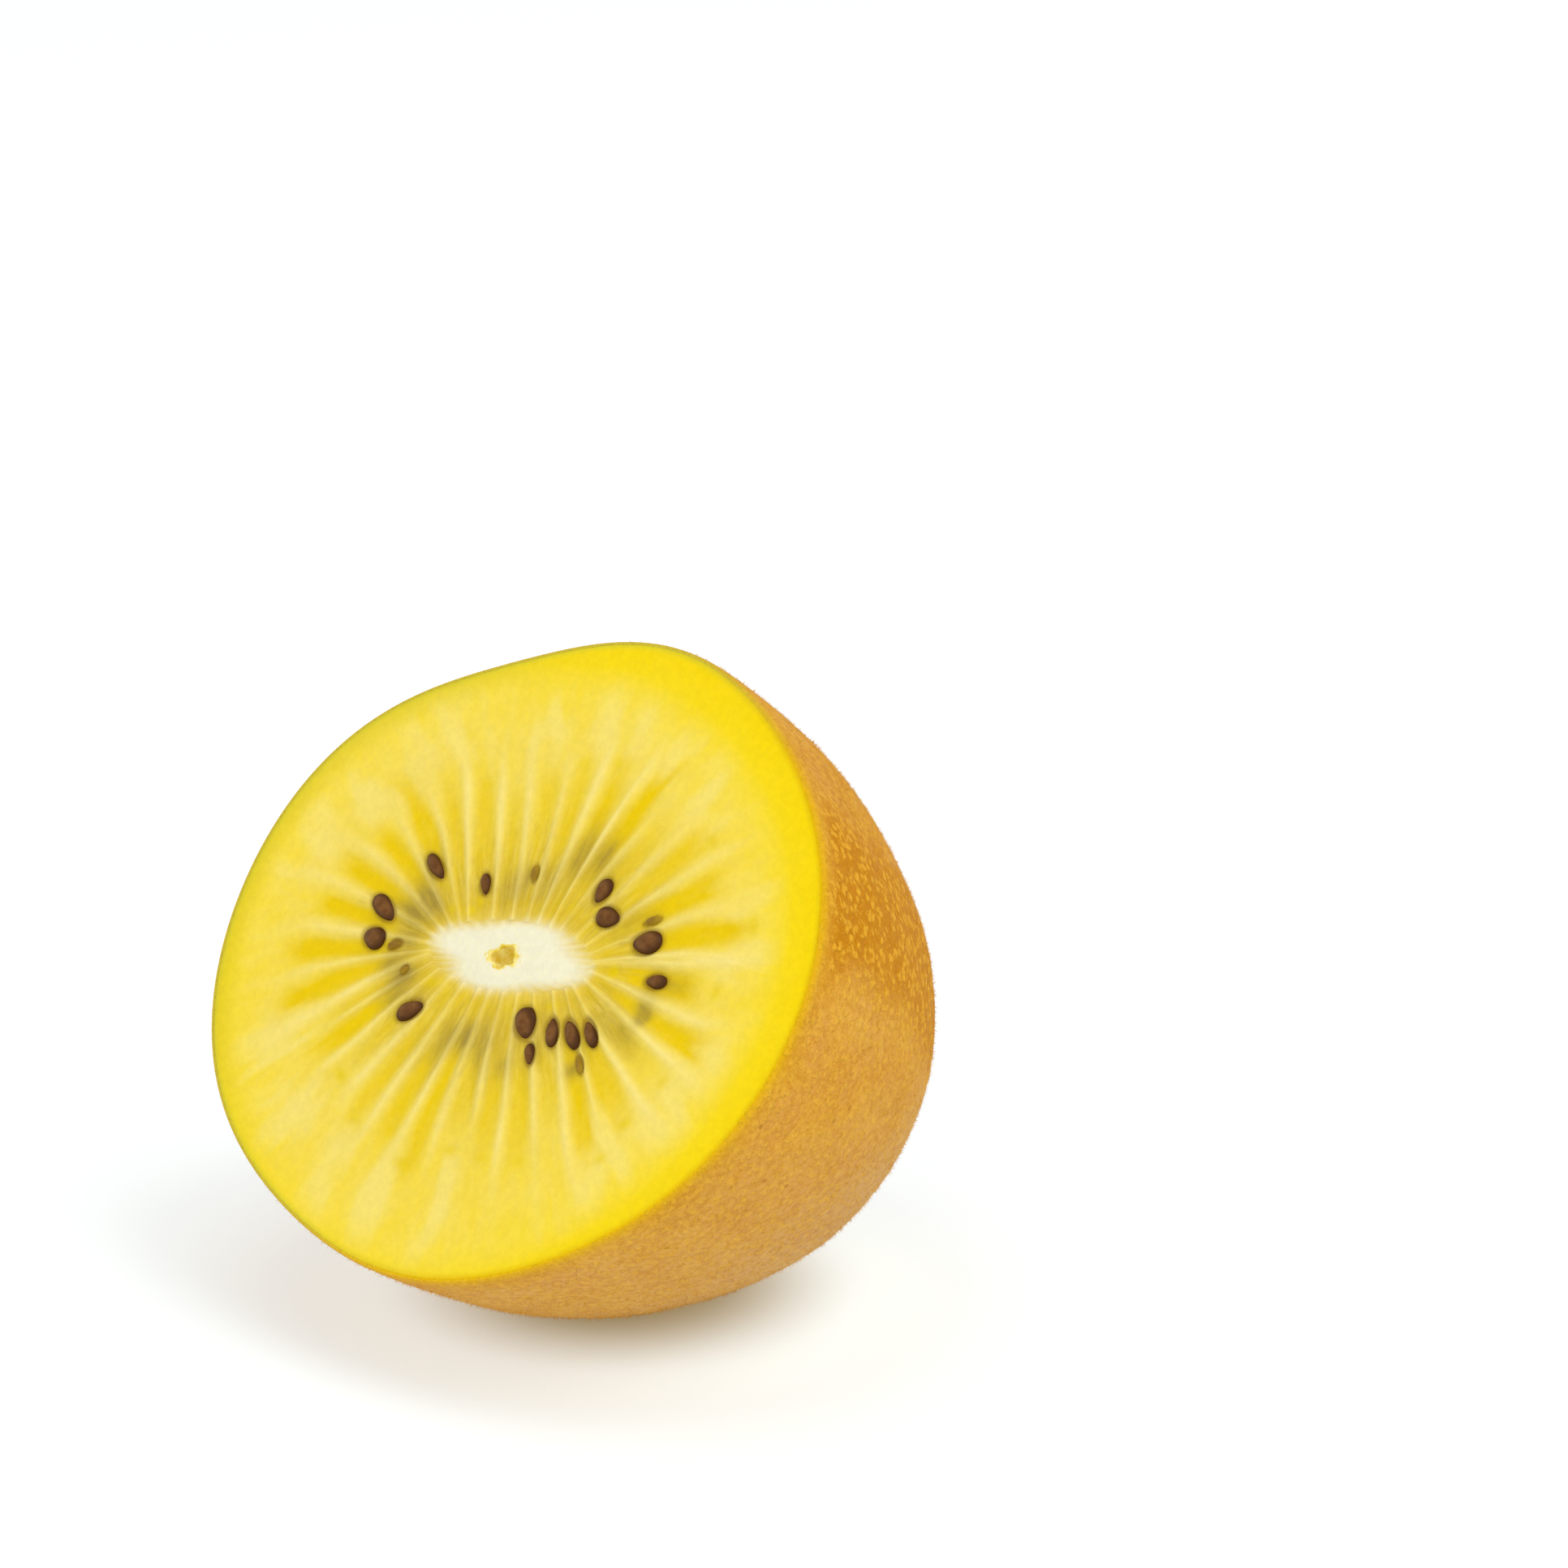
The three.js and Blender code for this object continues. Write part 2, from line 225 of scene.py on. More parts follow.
def clock_of(ray):
    """Clock angle of a ray: even steps round the fruit, moved by a slow sine wave."""
    even = np.radians(FIRST_RAY) + 2.0 * np.pi * ray / RAYS
    return even + np.radians(RAY_CROWDING) * np.sin(even - np.radians(CROWDING_ABOUT))


def rays_between(ray, other):
    """Signed distance from one place round the core to another, in rays, the short way."""
    return (ray - other + RAYS / 2) % RAYS - RAYS / 2


def section_radius(angle, share):
    """Radius of the fruit: a circle and its waves, for a section down to a share of its size."""
    waves = sum(h * np.cos(lobes * (angle - np.radians(at))) for lobes, h, at in OUTLINE_WAVES)
    return share * (CUT_RADIUS + waves * (WAVES_AT_END + (1.0 - WAVES_AT_END) * share))


def on_ellipse(clock, half_length, half_width):
    """Point of an ellipse that lies along the core, as x and y."""
    along, across = half_length * np.cos(clock), half_width * np.sin(clock)
    return np.stack(turned(along, across, math.radians(CORE_TILT)), axis=-1)


def on_rim(clock, inset):
    """Point of the cut's outline, inset by so much, as x and y."""
    angle = clock + math.radians(CORE_TILT)
    radius = section_radius(angle, 1.0) - inset
    return np.stack([radius * np.cos(angle), radius * np.sin(angle)], axis=-1)


def on_face(clock, reach):
    """Point of the cut face on the straight line from the core's edge to the rim."""
    core = on_ellipse(clock, CORE_LENGTH, CORE_WIDTH)
    edge = on_rim(clock, RIM_ROUNDING + SKIN_THICKNESS)
    return core + (edge - core) * np.asarray(reach)[..., None]


def laid_down(points):
    """From the fruit's own frame, with the cut in z = 0, to where it lies on the table."""
    x, y, z = np.moveaxis(points, -1, 0)
    y, z = turned(y, z, math.radians(90.0 - FACE_LEAN))
    return np.stack([x, y, z], axis=-1) + np.array(FACE_PLACE)


def skin_lumps(angle, step):
    """Low lumps of the skin: a few slow waves round and along the fruit, none at its ends."""
    lumps = sum(h * np.sin(lobes * angle + turn * step + at) for h, lobes, turn, at in SKIN_WAVES)
    return lumps * smoothstep(step, 0.0, 0.06) * smoothstep(1.0 - step, 0.0, 0.1)


def skin_grain(shape):
    """Fine unevenness of the skin: even draws on the mesh's own grid, each averaged with its
    neighbours to both sides."""
    draws = np.random.default_rng(21).uniform(-1.0, 1.0, shape)
    eased = draws + 0.5 * np.roll(draws, 1, axis=1) + 0.5 * np.roll(draws, -1, axis=1)
    return eased + 0.5 * np.roll(eased, 1, axis=0) + 0.5 * np.roll(eased, -1, axis=0)


def scar_rise(radius, angle):
    """Height at the far end: a ragged low lip, as a bell curve, round a sunken disc."""
    ragged = radius * (1.0 + 0.08 * np.sin(5 * angle + 1.0) + 0.05 * np.sin(11 * angle))
    lip = SCAR_LIP * bell(ragged - SCAR_RADIUS, 0.75)
    return lip - SCAR_DEPTH * (1.0 - smoothstep(ragged, 0.4 * SCAR_RADIUS, 0.95 * SCAR_RADIUS))


def on_skin(angle, step):
    """Outer skin for an angle round it and a step from 0 at the cut to 1 at the far end:
    size and depth follow cosine and sine to the power of 2 over the fullness."""
    quarter = step * np.pi / 2
    radius = section_radius(angle, np.cos(quarter) ** (2.0 / FULLNESS))
    z = -HALF_LENGTH * np.sin(quarter) ** (2.0 / FULLNESS) - scar_rise(radius, angle)
    radius = radius + skin_lumps(angle, step)
    radius = radius - RIM_ROUNDING * (1.0 - np.minimum(step / 0.008, 1.0)) ** 2
    return np.stack([radius * np.cos(angle), radius * np.sin(angle), z], axis=-1)


def under_skin(angle, step, depth):
    """A surface under the skin: the outer skin drawn in towards the middle of the cut."""
    return on_skin(angle, step) * (1.0 - depth / CUT_RADIUS)


def above_table(points, gap):
    """Points on the table with none nearer to it than the gap."""
    placed = laid_down(points)
    placed[..., 2] = np.maximum(placed[..., 2], gap)
    return placed


# --- Meshes ---


def round_angles(count):
    """So many angles, even all round."""
    return np.arange(count) * 2.0 * np.pi / count


def unit(vectors):
    """Vectors shortened or drawn out to length 1."""
    return vectors / np.linalg.norm(vectors, axis=-1, keepdims=True)


def ring_faces(rows, columns):
    """Two triangles for each cell of a stack of closed rings."""
    row, column = np.meshgrid(np.arange(rows - 1), np.arange(columns), indexing="ij")
    a = row * columns + column
    b = row * columns + (column + 1) % columns
    c, d = a + columns, b + columns
    halves = np.stack([a, d, b], axis=-1), np.stack([a, c, d], axis=-1)
    return np.concatenate([half.reshape(-1, 3) for half in halves])


def closed_stack(rings, ends):
    """Points and triangles of a stack of rings, closed by a point at each end. The two points
    come last."""
    rows, columns = rings.shape[:2]
    points = np.concatenate([rings.reshape(-1, 3), ends])
    here = np.arange(columns)
    after = (here + 1) % columns
    top = (rows - 1) * columns
    opening = np.stack([np.full(columns, rows * columns), here, after], axis=-1)
    closing = np.stack([np.full(columns, rows * columns + 1), top + after, top + here], axis=-1)
    return points, np.concatenate([ring_faces(rows, columns), opening, closing])


def joined(parts):
    """Points and triangles of several meshes as those of one."""
    starts = np.cumsum([0] + [len(points) for points, _ in parts[:-1]])
    faces = [own + start for (_, own), start in zip(parts, starts)]
    return np.concatenate([points for points, _ in parts]), np.concatenate(faces)


def make_piece(name, points, faces, material, slot):
    """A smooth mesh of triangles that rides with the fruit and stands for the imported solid."""
    mesh = bpy.data.meshes.new(name)
    mesh.vertices.add(len(points))
    mesh.vertices.foreach_set("co", (points * MM).astype(np.float32).ravel())
    mesh.loops.add(faces.size)
    mesh.loops.foreach_set("vertex_index", faces.astype(np.int32).ravel())
    mesh.polygons.add(len(faces))
    mesh.polygons.foreach_set("loop_start", np.arange(0, faces.size, 3, dtype=np.int32))
    mesh.update(calc_edges=True)
    mesh.shade_smooth()
    mesh.set_sharp_from_angle(angle=math.radians(SHARP_FROM))
    mesh.materials.append(material)
    piece = bpy.data.objects.new(name, mesh)
    bpy.context.scene.collection.objects.link(piece)
    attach(piece, "root")
    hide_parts(NODE)
    return piece


def give_mask(piece, name, values):
    """Stores one number for each point, for a material to read."""
    mask = piece.data.attributes.new(name, "FLOAT", "POINT")
    mask.data.foreach_set("value", np.asarray(values, dtype=np.float32).ravel())


# --- Flesh ---


def round_noise(rng, cells_per_ray, rows, ray, reach):
    """Smooth noise from -1 to 1: even draws on a lattice that closes round the core, eased
    from each lattice point to the next."""
    around = int(RAYS * cells_per_ray)
    lattice = rng.uniform(-1.0, 1.0, (rows + 2, around))
    x, y = ray * cells_per_ray, np.clip(reach, 0.0, 1.0) * rows
    i, j = np.floor(x).astype(int), np.floor(y).astype(int)
    u, v = smoothstep(x - i, 0.0, 1.0), smoothstep(y - j, 0.0, 1.0)
    here, after = i % around, (i + 1) % around
    low = lattice[j, here] * (1 - u) + lattice[j, after] * u
    high = lattice[j + 1, here] * (1 - u) + lattice[j + 1, after] * u
    return low * (1 - v) + high * v


def fibre_places(ray, reach):
    """Where the fibres and what lies between them run, in rays: for each fibre a parabola
    through its places at the core, half way and at the outer end, and in between a mean of
    the fibres on both sides."""
    table = np.array(FIBRES)
    at = np.clip(reach, 0.0, OUTER_END)
    weights = (
        (at - HALF_WAY) * (at - OUTER_END) / (HALF_WAY * OUTER_END),
        at * (at - OUTER_END) / (HALF_WAY * (HALF_WAY - OUTER_END)),
        at * (at - HALF_WAY) / (OUTER_END * (OUTER_END - HALF_WAY)),
    )
    base = np.floor(ray).astype(int)
    share = ray - base
    both = []
    for which in (base, base + 1):
        turns = RAYS * np.floor_divide(which, RAYS)
        own = sum(weight * table[which % RAYS, column] for column, weight in enumerate(weights))
        both.append(own + turns)
    return both[0] * (1.0 - share) + both[1] * share


def face_grid():
    """Ray number and reach for every point of the face, with columns crowded at the rays."""
    even = np.arange(RAYS * COLUMNS_PER_RAY) / COLUMNS_PER_RAY
    ray = even - 0.65 * np.sin(2.0 * np.pi * even) / (2.0 * np.pi)
    reaches = np.append(np.linspace(0.0, 0.997, FACE_ROWS), 1.0)
    return np.meshgrid(ray, reaches)


def fibre_masks(ray, reach, pitch):
    """Bright line and soft glow of the fibres: bell curves across each one, in millimetres,
    that widen outwards and fade out where it ends."""
    *_, ends, widths, brightness, _, _ = np.array(FIBRES).T
    line, glow = np.zeros_like(ray), np.zeros_like(ray)
    base = np.floor(ray).astype(int)
    for side in (0, 1):
        which = (base + side) % RAYS
        across = (ray - base - side) * pitch
        fade = 1.0 - smoothstep(reach, ends[which] - 0.3, ends[which])
        bright, width = brightness[which] * fade, widths[which]
        line += bright * bell(across, width * (0.13 + 0.44 * reach))
        glow += (0.3 + 0.7 * bright) * fade * bell(across, width * (0.2 + 0.85 * reach))
    return np.clip(line, 0, 1), np.clip(glow, 0, 1)


def chamber_mask(rng, ray, reach):
    """Deep gold of the chambers: each fills the room between two fibres, from near the core
    out to its own top, with sides and top made uneven by smooth noise."""
    *_, tops, depths = np.array(FIBRES).T
    which = np.floor(ray).astype(int) % RAYS
    across = np.abs(ray - np.floor(ray) - 0.5) * 2.0 + 0.22 * round_noise(rng, 2, 7, ray, reach)
    top = tops[which] + 0.06 * round_noise(rng, 4, 3, ray, reach)
    half_width = 1.0 - 0.35 * reach / tops[which]
    body = 1.0 - smoothstep(across, half_width - 0.5, half_width + 0.15)
    rise, fall = smoothstep(reach, 0.0, 0.32), 1.0 - smoothstep(reach, top - 0.14, top + 0.05)
    return depths[which] * body * (0.15 + 0.85 * rise) * fall


def seed_shade(ray, reach, pitch):
    """Grey-olive shade round the seeds: bell curves drawn out along the rays."""
    shade = np.zeros_like(ray)
    spots = [(place, at, length, 0.3) for place, at, length, *_ in SEEDS] + list(BURIED_SEEDS)
    for place, at, length, strength in spots:
        across = rays_between(ray, place) * pitch
        along = (reach - at) * FACE_REACH
        shade += 1.35 * strength * bell(across, 0.85) * bell(along, 0.5 * length)
    return np.clip(shade, 0.0, 1.0)


def seed_turns():
    """Place on the cut and heading of each seed: towards the core, and turned from there."""
    clock = clock_of(np.array([chamber for chamber, *_ in SEEDS]))
    place = on_face(clock, np.array([reach for _, reach, *_ in SEEDS]))
    inwards = on_ellipse(clock, CORE_LENGTH, CORE_WIDTH) - on_rim(clock, 0.0)
    turn = np.radians([turn for *_, turn in SEEDS])
    return place, np.arctan2(inwards[:, 1], inwards[:, 0]) + turn


def seed_seats(flat):
    """1 where a seed sits, falling to 0 just outside it: an S-shaped fall on the distance
    from its middle, counted in its own half length and half breadth."""
    seats = np.zeros(flat.shape[:-1])
    for place, heading, (_, _, length, breadth, _) in zip(*seed_turns(), SEEDS):
        along, across = turned(*np.moveaxis(flat - place, -1, 0), -heading)
        far = np.hypot(along / (0.5 * length + 0.1), across / (0.5 * breadth + 0.1))
        seats = np.maximum(seats, 1.0 - smoothstep(far, 0.85, 1.25))
    return seats


def deeper_spots(ray, reach, pitch):
    """Small deeper spots of the flesh: bell curves, broader across than along."""
    spots = np.zeros_like(ray)
    for place, at, breadth, strength in SPOTS:
        across = rays_between(ray, place) * pitch
        spots += strength * bell(across, 0.6 * breadth) * bell((reach - at) * FACE_REACH, 0.38)
    return np.clip(spots, 0.0, 1.0)


def yellowing(ray, reach):
    """How far the flesh has run from its inner to its outer colours: the reach, shifted by
    clock in the outer half as the table says."""
    clocks, shifts = np.array(OUTER_SHIFTS).T
    shift = np.interp(np.degrees(clock_of(ray)), clocks, shifts, period=360.0)
    return np.clip(reach + shift * smoothstep(reach, 0.4, 0.75), 0.0, 1.0)


def greening(clock):
    """1 where the rim is greenest and -1 across from there: the cosine of the angle between."""
    return np.cos(clock - np.radians(GREENEST))


def core_mask(ray, share):
    """Pale core: full inside a blunt four-sided outline, fading outwards, further on rays.
    The share is 1 at the core's edge ellipse."""
    clock = clock_of(ray) % (2.0 * np.pi)
    edge = 0.93 + 0.11 * np.cos(4.0 * (clock - np.radians(72.0)))
    edge -= 0.14 * bell(clock - np.radians(205.0), 0.4)
    on_ray = 0.5 + 0.5 * np.cos(2.0 * np.pi * ray)
    return 1.0 - smoothstep(share, edge - 0.32, edge + 0.22 + 0.12 * on_ray)


def core_rings(ray):
    """Rings from the hollow's floor to the core's edge, with their shares: the hollow is a
    ragged bowl and the core a low swelling."""
    rng = np.random.default_rng(3)
    ragged = 1.0 + 0.3 * round_noise(rng, 1 / 3, 1, ray, np.zeros_like(ray))
    clock = clock_of(ray)
    lip = on_ellipse(clock, HOLLOW_LENGTH, HOLLOW_WIDTH) * ragged[:, None]
    hollow = HOLLOW_PLACE + lip
    core = on_ellipse(clock, CORE_LENGTH, CORE_WIDTH)
    bowl = [
        (HOLLOW_PLACE + lip * step, -HOLLOW_DEPTH * (1.0 - step**4), -1.0)
        for step in (0.3, 0.6, 0.85, 0.97)
    ]
    swelling = [
        (hollow + (core - hollow) * step, CORE_SWELL * (1.0 - step**2), step)
        for step in np.linspace(0.0, 0.94, 16)
    ]
    rings = [
        np.concatenate([flat, np.full((len(ray), 1), height)], axis=-1)
        for flat, height, _ in bowl + swelling
    ]
    shares = [np.full(len(ray), share) for *_, share in bowl + swelling]
    return np.array(rings), np.array(shares)


def build_flesh(material):
    """The flesh: hollow, core, cut face and the sides under the skin, as one closed stack. The
    face's relief is a sum of the masks of fibres, chambers, streaks and seats."""
    rng = np.random.default_rng(11)
    ray, reach = face_grid()
    moved = fibre_places(ray, reach)
    moved += 0.05 * round_noise(rng, 1, 5, ray, reach) * smoothstep(reach, 0.0, 0.3)
    flat = on_face(clock_of(moved), reach)
    step_length = np.linalg.norm(np.gradient(flat, axis=1), axis=-1)
    pitch = step_length / np.gradient(ray, axis=1)
    pitch[:, [0, -1]] = pitch[:, [1, -2]]
    even_pitch = step_length / np.gradient(moved, axis=1)
    even_pitch[:, [0, -1]] = even_pitch[:, [1, -2]]
    line, glow = fibre_masks(ray, reach, pitch)
    chamber = chamber_mask(rng, ray, reach)
    streak = round_noise(rng, 7, 5, ray, reach)
    relief = FIBRE_RISE * line + GLOW_RISE * glow - CHAMBER_SINK * chamber * (1.0 - glow)
    relief += STREAK_RISE * streak * smoothstep(reach, 0, 0.1)
    seat = seed_seats(flat)
    relief = relief * (1.0 - smoothstep(reach, 0.85, 0.95)) * (1.0 - seat) - SEAT_SINK * seat
    face = np.concatenate([flat, relief[..., None]], axis=-1)
    core, core_share = core_rings(ray[0])
    side_steps = np.append(0.0005, np.linspace(0.02, 0.985, SIDE_ROWS))
    angle, step = np.meshgrid(clock_of(ray[0]) + math.radians(CORE_TILT), side_steps)
    sides = under_skin(angle, step, SKIN_THICKNESS)
    rings = above_table(np.concatenate([core, face, sides]), SKIN_THICKNESS)
    floor = [*HOLLOW_PLACE, -HOLLOW_DEPTH]
    ends = laid_down(np.array([floor, under_skin(0.0, 1.0, SKIN_THICKNESS)]))
    piece = make_piece("flesh", *closed_stack(rings, ends), material, "flesh")

    def give(name, across_face, on_core=0.0, on_sides=0.0):
        """Joins a mask's values on the core, the face and the sides, in the mesh's order."""
        on_core = np.broadcast_to(on_core, core.shape[:2])
        rows = np.concatenate([on_core, across_face, np.full(sides.shape[:2], on_sides)])
        give_mask(piece, name, np.append(rows.ravel(), [on_core[0, 0], on_sides]))

    give("line", line)
    give("glow", glow)
    give("chamber", chamber)
    give("yellowing", yellowing(moved, reach), on_sides=1.0)
    give("shade", seed_shade(moved, reach, even_pitch))
    give("seat", seat)
    give("spots", deeper_spots(moved, reach, even_pitch))
    give("reach", reach, on_sides=1.0)
    core_rays = np.broadcast_to(ray[0], core.shape[:2])
    give("core", core_mask(ray, 1.0 + 8.0 * reach), core_mask(core_rays, core_share))
    give("hollow", np.zeros_like(ray), 1.0 - smoothstep(core_share, 0.0, 0.13))
    give("greening", greening(clock_of(ray)), greening(clock_of(core_rays)))
    for name, wave in (("round", np.cos), ("turn", np.sin)):
        give(name, wave(2 * np.pi * ray / RAYS), wave(2 * np.pi * core_rays / RAYS))
    return piece


# --- Skin ---


def skin_stripes_and_shade(angle, step):
    """Stripes along the fruit where the skin is deeper and more speckled, the strongest also
    painted shade: level across with an S-shaped fall at both sides, gone at the cut and at the
    far end."""
    stripes = np.zeros_like(angle)
    for place, half_width, strength in STRIPES_AND_SHADE:
        away = np.abs((np.degrees(angle) - place + 180.0) % 360.0 - 180.0)
        stripes += strength * (1.0 - smoothstep(away, 0.4 * half_width, 1.6 * half_width))
    return stripes * smoothstep(step, 0.0, 0.04) * (1.0 - smoothstep(step, 0.6, 0.9))


def build_skin(material):
    """The skin as a thin shell, one closed stack: inside from the far end to the rim, with
    rows that round it, and back outside."""
    inner_steps = np.append(np.linspace(0.97, 0.05, INSIDE_ROWS), [0.0, 0.0, 0.0])
    outer_steps = np.append(RIM_STEPS, np.linspace(0.024, 0.992, SKIN_ROWS))
    inner_angle, inner_step = np.meshgrid(round_angles(SKIN_COLUMNS), inner_steps)
    angle, step = np.meshgrid(round_angles(SKIN_COLUMNS), outer_steps)
    depth = np.full(inner_step.shape + (1,), SKIN_THICKNESS)
    depth[-2], depth[-1] = 0.85 * SKIN_THICKNESS, 0.15 * SKIN_THICKNESS
    grain = SKIN_GRAIN * skin_grain(angle.shape) * smoothstep(step, 0.005, 0.03)
    inside = above_table(under_skin(inner_angle, inner_step, depth), SKIN_THICKNESS)
    outside = above_table(on_skin(angle, step) * (1.0 + grain / CUT_RADIUS)[..., None], 0.0)
    ends = laid_down(np.array([under_skin(0.0, 1.0, SKIN_THICKNESS), on_skin(0.0, 1.0)]))
    rings = np.concatenate([inside, outside])
    piece = make_piece("skin", *closed_stack(rings, ends), material, "skin")

    def give(name, on_outside, on_inside=0.0, at_ends=(0.0, 0.0)):
        """Joins a mask's values inside, outside and at both end points, in the mesh's order."""
        rows = np.concatenate([np.broadcast_to(on_inside, inner_step.shape), on_outside])
        give_mask(piece, name, np.append(rows.ravel(), at_ends))

    radius = np.linalg.norm(on_skin(angle, step)[..., :2], axis=-1)
    outer_end = (1.0 - smoothstep(radius, 0.8 * SCAR_RADIUS, 1.5 * SCAR_RADIUS)) * (step > 0.5)
    inner_cut = np.append(np.ones(len(inner_steps) - 1), 0.65)[:, None]
    give("end", outer_end, at_ends=(1.0, 1.0))
    give("cut", 0.55 * (1.0 - smoothstep(step, 0.0, 0.012)), inner_cut, (1.0, 0.0))
    give("back", step, at_ends=(0.0, 1.0))
    give("greening", greening(angle), greening(inner_angle))
    give("stripes_and_shade", skin_stripes_and_shade(angle, step))
    return piece


def build_fuzz(material):
    """Down on the skin: three-sided spikes that lean over from their roots at random."""
    rng = np.random.default_rng(5)
    angle = rng.uniform(0, 2 * np.pi, HAIRS)
    step = np.clip(np.arcsin(rng.uniform(0.0, 1.0, HAIRS) ** 0.9) / (np.pi / 2), 0.004, 0.96)
    root = on_skin(angle, step)
    tiny = 0.002
    across = on_skin(angle + tiny, step) - root
    down = on_skin(angle, step + tiny) - root
    normal = unit(np.cross(down, across))
    leaning = unit(np.cross(normal, rng.normal(size=(HAIRS, 3))))
    sideways = np.cross(normal, leaning)
    direction = unit(normal + rng.uniform(*HAIR_LEANS, (HAIRS, 1)) * leaning)
    sunk = root - HAIR_ROOT * normal
    corners = [
        sunk + HAIR_RADIUS * (math.cos(turn) * leaning + math.sin(turn) * sideways)
        for turn in np.radians([0.0, 120.0, 240.0])
    ]
    tips = root + direction * rng.uniform(*HAIR_LENGTHS, (HAIRS, 1))
    points = laid_down(np.stack([*corners, tips], axis=1))
    clear = points[points[..., 2].min(axis=1) > 0.02]
    spike = np.array([[0, 1, 3], [1, 2, 3], [2, 0, 3], [0, 2, 1]])
    faces = (4 * np.arange(len(clear))[:, None, None] + spike).reshape(-1, 3)
    return make_piece("fuzz", clear.reshape(-1, 3), faces, material, "skin")


def scar_disc():
    """Dried disc: a ragged outline, a top with cracks as two sets of sine waves and a raised
    edge, and a flat back inside the skin."""
    angle, share = np.meshgrid(round_angles(SCAR_COLUMNS), np.linspace(0.08, 1.0, SCAR_ROWS))
    ragged = 1.0 + 0.07 * np.sin(6 * angle + 2.0) + 0.05 * np.sin(13 * angle)
    radius = share * DISC_SHARE * SCAR_RADIUS * ragged
    cracks = 0.1 * np.sin(17 * angle + 5.0 * share) * share
    cracks += 0.07 * np.sin(9 * angle - 14.0 * share)
    level = -HALF_LENGTH + SCAR_DEPTH - DISC_RISE - 0.35 * smoothstep(share, 0.5, 1.0)
    top = np.stack([radius * np.cos(angle), radius * np.sin(angle), level - cracks], axis=-1)
    back = top[::-1] * [1.0, 1.0, 0.0] + [0.0, 0.0, -HALF_LENGTH + SCAR_DEPTH + DISC_ROOT]
    ends = [(0.0, 0.0, top[0, 0, 2]), (0.0, 0.0, back[-1, 0, 2])]
    return closed_stack(np.concatenate([top, back]), ends)


def scar_strands():
    """Withered strands: thin tubes from random roots on the disc, which thin out, lean away
    from the middle by a power of the way along, and curl as they go."""
    rng = np.random.default_rng(9)
    ranges = (0.0, 2 * np.pi), STRAND_REACHES, STRAND_LENGTHS, STRAND_CURLS
    clock, reach, length, curl = (rng.uniform(*ends, (STRANDS, 1)) for ends in ranges)
    t = np.linspace(0.0, 1.0, STRAND_JOINTS)
    lean = 0.5 * length * t**1.5
    x = reach * np.cos(clock) + lean * np.cos(clock + curl * t)
    y = reach * np.sin(clock) + lean * np.sin(clock + curl * t)
    z = -HALF_LENGTH + SCAR_DEPTH + 0.1 - length * t
    path = np.stack([x, y, z], axis=-1)[:, :, None, :]
    thick = (STRAND_RADIUS * (1.0 - 0.8 * t))[None, :, None, None]
    turn = round_angles(STRAND_SIDES)
    tubes = path + thick * np.stack([np.cos(turn), np.sin(turn), 0.0 * turn], axis=-1)
    return [closed_stack(tube, tube[[0, -1]].mean(axis=1)) for tube in tubes]


def build_scar(material):
    """The dried end: a sunken cracked disc and a brush of withered strands on it."""
    points, faces = joined([scar_disc(), *scar_strands()])
    return make_piece("scar", laid_down(points), faces, material, "scar")


# --- Seeds ---


def seed_form(length, breadth, ridge_start):
    """A seed along x: rings whose width follows a drop, blunt behind and pointed in front,
    flattened in z and faintly ridged."""
    t = np.linspace(0.0, np.pi, SEED_ROWS + 2)[1:-1]
    around, t = np.meshgrid(round_angles(SEED_SIDES), t)
    along = -np.cos(t)
    width = np.sin(t) ** 0.85 * (1.0 - 0.24 * along - 0.1 * along**2)
    ridge = 1.0 + 0.03 * np.sin(3 * around + ridge_start) + 0.02 * np.sin(7 * around + 5 * along)
    y = 0.5 * breadth * width * ridge * np.cos(around)
    z = 0.5 * SEED_THICKNESS * width * ridge * np.sin(around)
    rings = np.stack([0.5 * length * along, y, z], axis=-1)
    return closed_stack(rings, [(-0.5 * length, 0.0, 0.0), (0.5 * length, 0.0, 0.0)])


def build_seeds(material):
    """All the seeds at the cut, each in its chamber. One mask is the distance from a seed's
    middle, in half lengths and half breadths; the other, how far flesh films over a thin one."""
    rng = np.random.default_rng(7)
    seeds, rims, films = [], [], []
    for place, heading, (_, _, length, breadth, _) in zip(*seed_turns(), SEEDS):
        own, faces = seed_form(length, breadth, rng.uniform(0, 6))
        rims.append(np.hypot(own[:, 0] / (0.5 * length), own[:, 1] / (0.5 * breadth)))
        films.append(np.full(len(own), smoothstep(breadth, 0.8, 0.55)))
        lean, roll = rng.uniform(-0.1, 0.1), rng.uniform(-0.15, 0.15)
        own = own @ np.array([[1, 0, lean], [0, 1, roll], [-lean, -roll, 1]])
        x, y = turned(own[:, 0], own[:, 1], heading)
        z = own[:, 2] + SEED_RISE + RISE_WITH_BREADTH * breadth - 0.5 * SEED_THICKNESS
        seeds.append((np.stack([x + place[0], y + place[1], z], axis=-1), faces[:, ::-1]))
    points, faces = joined(seeds)
    piece = make_piece("seeds", laid_down(points), faces, material, "seeds")
    give_mask(piece, "rim", np.concatenate(rims))
    give_mask(piece, "film", np.concatenate(films))
    return piece


# --- Materials ---


LIGHT_LEVEL = 1.14  # how much brighter than its own colour a surface looks in this light


def screen(red, green, blue):
    """The linear colour that shows as a screen colour, 0 to 255, in the studio's light."""
    shares = [value / 255.0 for value in (red, green, blue)]
    linear = [s / 12.92 if s <= 0.04045 else ((s + 0.055) / 1.055) ** 2.4 for s in shares]
    return (*[value / LIGHT_LEVEL for value in linear], 1.0)


